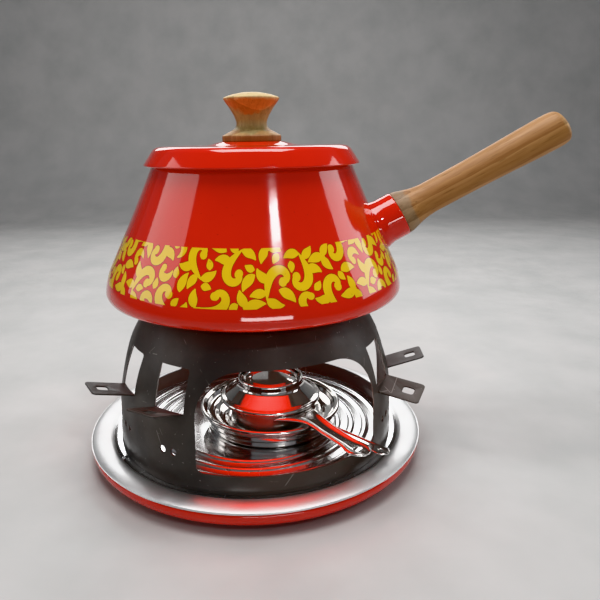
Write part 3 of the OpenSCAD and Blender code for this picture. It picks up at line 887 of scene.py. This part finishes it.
def scroll_band():
    """One repeat of the band: motifs at random places, so that none touch."""
    cell = 0.5  # side of a grid cell
    gap = 0.85  # least room between motifs
    margin = 12  # room over and under the band, for motifs that its edges cut
    across = round(BAND_REPEAT / cell)
    up = round((BAND_H + 2 * margin) / cell)
    taken = np.zeros((across, up), bool)
    reach = math.ceil(gap / cell)
    steps = range(-reach, reach + 1)
    near = [(i, j) for i in steps for j in steps if math.hypot(i, j) * cell <= gap]
    out = []
    for motif, tries in MOTIFS:
        for _ in range(tries):
            at = (random.uniform(0, BAND_REPEAT), random.uniform(-2, BAND_H + 2))
            strokes = placed(motif(random.choice((-1, 1))), at, random.uniform(0, 2 * math.pi))
            spots = inked(strokes, cell)
            shown = np.mean((spots[:, 1] > 0) & (spots[:, 1] < BAND_H / cell))
            i = spots[:, 0] % across
            j = np.clip(spots[:, 1] + round(margin / cell), 0, up - 1)
            if shown < 0.4 or taken[i, j].any():
                continue
            out += strokes
            for di, dj in near:
                taken[(i + di) % across, np.clip(j + dj, 0, up - 1)] = True
    return out


def clipped(points, low, high):
    """The part of a convex polygon between two heights."""
    for level, keep in ((low, 1), (high, -1)):
        kept = []
        for a, b in zip(points, points[1:] + points[:1]):
            above_a = keep * (a[1] - level)
            above_b = keep * (b[1] - level)
            if above_a >= 0:
                kept.append(a)
            if above_a * above_b < 0:
                kept.append(a + (b - a) * above_a / (above_a - above_b))
        points = kept
    return points


def on_wall(point, lift):
    """A point of the band, wrapped on the pot's wall."""
    angle = point[0] / BAND_REPEAT * math.pi / 2
    z = BAND_Z + point[1]
    r = pot_radius(z) + lift
    return r * math.cos(angle), r * math.sin(angle), z


def printed(name, strokes, grow, lift, material):
    """Strokes as thin plates on the pot's wall, four times round, cut off straight at the band's edges.

    Each lies a little higher or lower than the next, so that where two cross one of them shows.
    """
    verts = []
    faces = []
    for k, row in enumerate(strokes):
        half = row[:, 4:] + grow
        height = lift + 0.002 * (k % 9)
        lanes = [row[:, :2] + row[:, 2:4] * half * t for t in np.linspace(-1, 1, 5)]
        for right, left in zip(lanes, lanes[1:]):
            for i in range(len(row) - 1):
                piece = clipped([right[i], right[i + 1], left[i + 1], left[i]], 0, BAND_H)
                if len(piece) < 3:
                    continue
                for quarter in range(4):
                    faces.append(range(len(verts), len(verts) + len(piece)))
                    verts += [on_wall(p + (quarter * BAND_REPEAT, 0), height) for p in piece]
    obj = build(name, verts, faces, material, closed=False)
    thicken(obj, 0.15)
    obj.data.set_sharp_from_angle(angle=math.radians(SHARP))
    place(obj, "pot")


def scroll_print():
    """Yellow strokes, each on a wider dark one that outlines it."""
    strokes = scroll_band()
    printed("print_outlines", strokes, 0.65, 0.015, OUTLINE)
    printed("print_scrolls", strokes, 0.3, 0.04, YELLOW)


# ---- lid ----


def lid():
    """A flat lid with a raised seat for the knob, a rounded shoulder and a hem."""
    flat = LID_TOP - 2.8
    top = [(0.01, LID_TOP), (21.6, LID_TOP, 1.2), (23.4, LID_TOP - 0.5, 1.0), (30.6, flat + 0.3, 2.0),
           (34, flat, 2.0), (62.5, flat, 0.5)]
    shoulder_r = 7
    shoulder = arc((62.5, flat - shoulder_r), shoulder_r, 88, 32, 14)
    hem = arc((LID[0] - 0.9, LID[1] + 0.1), 0.8, 32, -150, 12)
    path = rounded(top, 1) + shoulder + hem
    place(lathe("lid_enamel", sheet(path, -0.9), RED, segments=256), "lid", ["lid_shell"])


def knob():
    """A turned knob with a waist."""
    z = LID_TOP + 0.05
    side = [(19.9, 0), (20.3, 0.4), (20.3, 3.5), (20.0, 4.1), (16.1, 6.2), (12.6, 8.2), (11, 9.8),
            (10.4, 11.8), (10.6, 14.0), (12.2, 18.0), (15.6, 23.6), (18.9, 28.3), (19.4, 29.2),
            (18.9, 30.0), (13.5, 31.9), (7, 33.2), (0.01, 33.7)]
    outline = [(r, h + z) for r, h in rounded([(0.01, 0, 0)] + side, 0.8, 3)]
    obj = lathe("knob_turned", outline, KNOB_WOOD, closed=False, segments=128)
    place(obj, "lid", ["lid_knob"])


base_plate()
drip_tray()
stand()
burner_pan()
pan_handle()
damper()
damper_handle()
snuffer_cap()
pot()
scroll_print()
handle()
lid()
knob()

# Materials of the CAD's own solids. The first eight are shown. Finer shapes stand in for the rest.
NODE_MATERIALS = {
    "fuel_cup": STEEL, "absorbent_wool": WOOL, "wick_gauze": GAUZE, "gauze_ring": STEEL,
    "handle_stud": STEEL, "handle_insert": BRASS, "knob_screw": STEEL, "knob_washer": STEEL,
    "base_plate": RED, "drip_tray": TRAY, "stand_shell": PAINT, "burner_pan": CHROME, "pan_handle": CHROME,
    "damper_ring": CHROME, "damper_handle": CHROME, "snuffer_cap": CHROME, "pot_body": RED,
    "handle_socket": RED, "wood_handle": HANDLE_WOOD, "lid_shell": RED, "lid_knob": KNOB_WOOD,
}
for name, material in NODE_MATERIALS.items():
    mesh = nodes[name].data
    mesh.materials.clear()
    mesh.materials.append(material)
    mesh.shade_smooth()
    mesh.set_sharp_from_angle(angle=math.radians(30))


# ---- floor, light and camera ----


def floor():
    """A pale floor that curves up into a backdrop."""
    s = Shader("floor")
    grain = s.noise(14, 5)
    tint = s.mix(s.remap(grain, 0.35, 0.7), (0.52, 0.51, 0.50), (0.45, 0.45, 0.44))
    material = s.finish(**{"Base Color": tint, "Roughness": s.remap(s.noise(60, 4), 0.3, 0.7, 0.42, 0.6),
                           "Normal": s.bump(s.noise(900, 3), 0.15, 0.1)})
    section = [(-1200, 0)] + arc((1100, 300), 300, -90, 0, 15) + [(1400, 1600)]
    verts = [(x, y, z) for x in (-2200, 2200) for y, z in section]
    n = len(section)
    faces = [(i, i + 1, n + i + 1, n + i) for i in range(n - 1)]
    obj = build("floor", verts, faces, material, 60)


def soft_light(name, place_mm, target_mm, width, height, power, tint=(1, 1, 1), mirrored=True):
    """A rectangle of light that the camera doesn't see. Shiny surfaces show it if it is mirrored."""
    data = bpy.data.lights.new(name, "AREA")
    data.shape = "RECTANGLE"
    data.size = width * MM
    data.size_y = height * MM
    data.energy = power
    data.color = tint
    obj = bpy.data.objects.new(name, data)
    obj.location = Vector(place_mm) * MM
    aim = Vector(target_mm) * MM - obj.location
    obj.rotation_euler = aim.to_track_quat("-Z", "Y").to_euler()
    obj.visible_camera = False
    obj.visible_glossy = mirrored
    bpy.context.scene.collection.objects.link(obj)


def lights():
    """Soft lights, and a small one for the light that the tray throws up under the pot."""
    middle = (0, 0, 120)
    soft_light("overhead", (0, -40, 1100), middle, 800, 500, 10)
    soft_light("left_window", (-930, -130, 480), middle, 700, 650, 2.2, (1, 0.98, 0.96))
    soft_light("right_window", (950, 110, 430), middle, 450, 650, 2.2, (0.97, 0.98, 1))
    soft_light("front_lamp", (350, -810, 765), middle, 110, 50, 1.2)
    soft_light("low_fill", (150, -800, 90), (0, 0, 60), 500, 60, 0.8)
    soft_light("tray_bounce", (0, -62, 30), (0, 10, 95), 90, 30, 0.22, mirrored=False)
    soft_light("rear_bank", (0, 900, 620), middle, 1200, 300, 5)
    world = bpy.data.worlds.new("studio")
    world.use_nodes = True
    world.node_tree.nodes["Background"].inputs[0].default_value = (0.72, 0.74, 0.78, 1)
    world.node_tree.nodes["Background"].inputs[1].default_value = 0.28
    bpy.context.scene.world = world


def camera():
    """A camera at the picture's viewpoint.

    The picture's lens shift is a curve over the camera's x. It holds at the viewpoint and is nil a little
    way off, so that the set is centred when the camera stands elsewhere.
    """
    data = bpy.data.cameras.new("camera")
    data.lens = 35.89
    data.sensor_width = 36
    obj = bpy.data.objects.new("camera", data)
    viewpoint = Vector((18.1, -415.0, 213.5)) * MM
    downwards = 5.405
    roll = -0.78
    obj.matrix_world = (Matrix.Translation(viewpoint)
                        @ Matrix.Rotation(math.radians(90 - downwards), 4, "X")
                        @ Matrix.Rotation(math.radians(roll), 4, "Z"))
    bpy.context.scene.collection.objects.link(obj)
    bpy.context.scene.camera = obj
    for name, lens_shift in (("shift_x", 0.0353), ("shift_y", -0.1772)):
        curve = data.driver_add(name)
        curve.modifiers.remove(curve.modifiers[0])
        curve.driver.type = "SUM"
        camera_x = curve.driver.variables.new()
        camera_x.type = "TRANSFORMS"
        camera_x.targets[0].id = obj
        camera_x.targets[0].transform_type = "LOC_X"
        curve.keyframe_points.add(3)
        for point, away, value in zip(curve.keyframe_points, (-2, 0, 2), (0, lens_shift, 0)):
            point.co = (viewpoint.x + away * MM, value)
            point.interpolation = "LINEAR"


floor()
lights()
camera()

scene = bpy.context.scene
scene.view_settings.view_transform = "Khronos PBR Neutral"
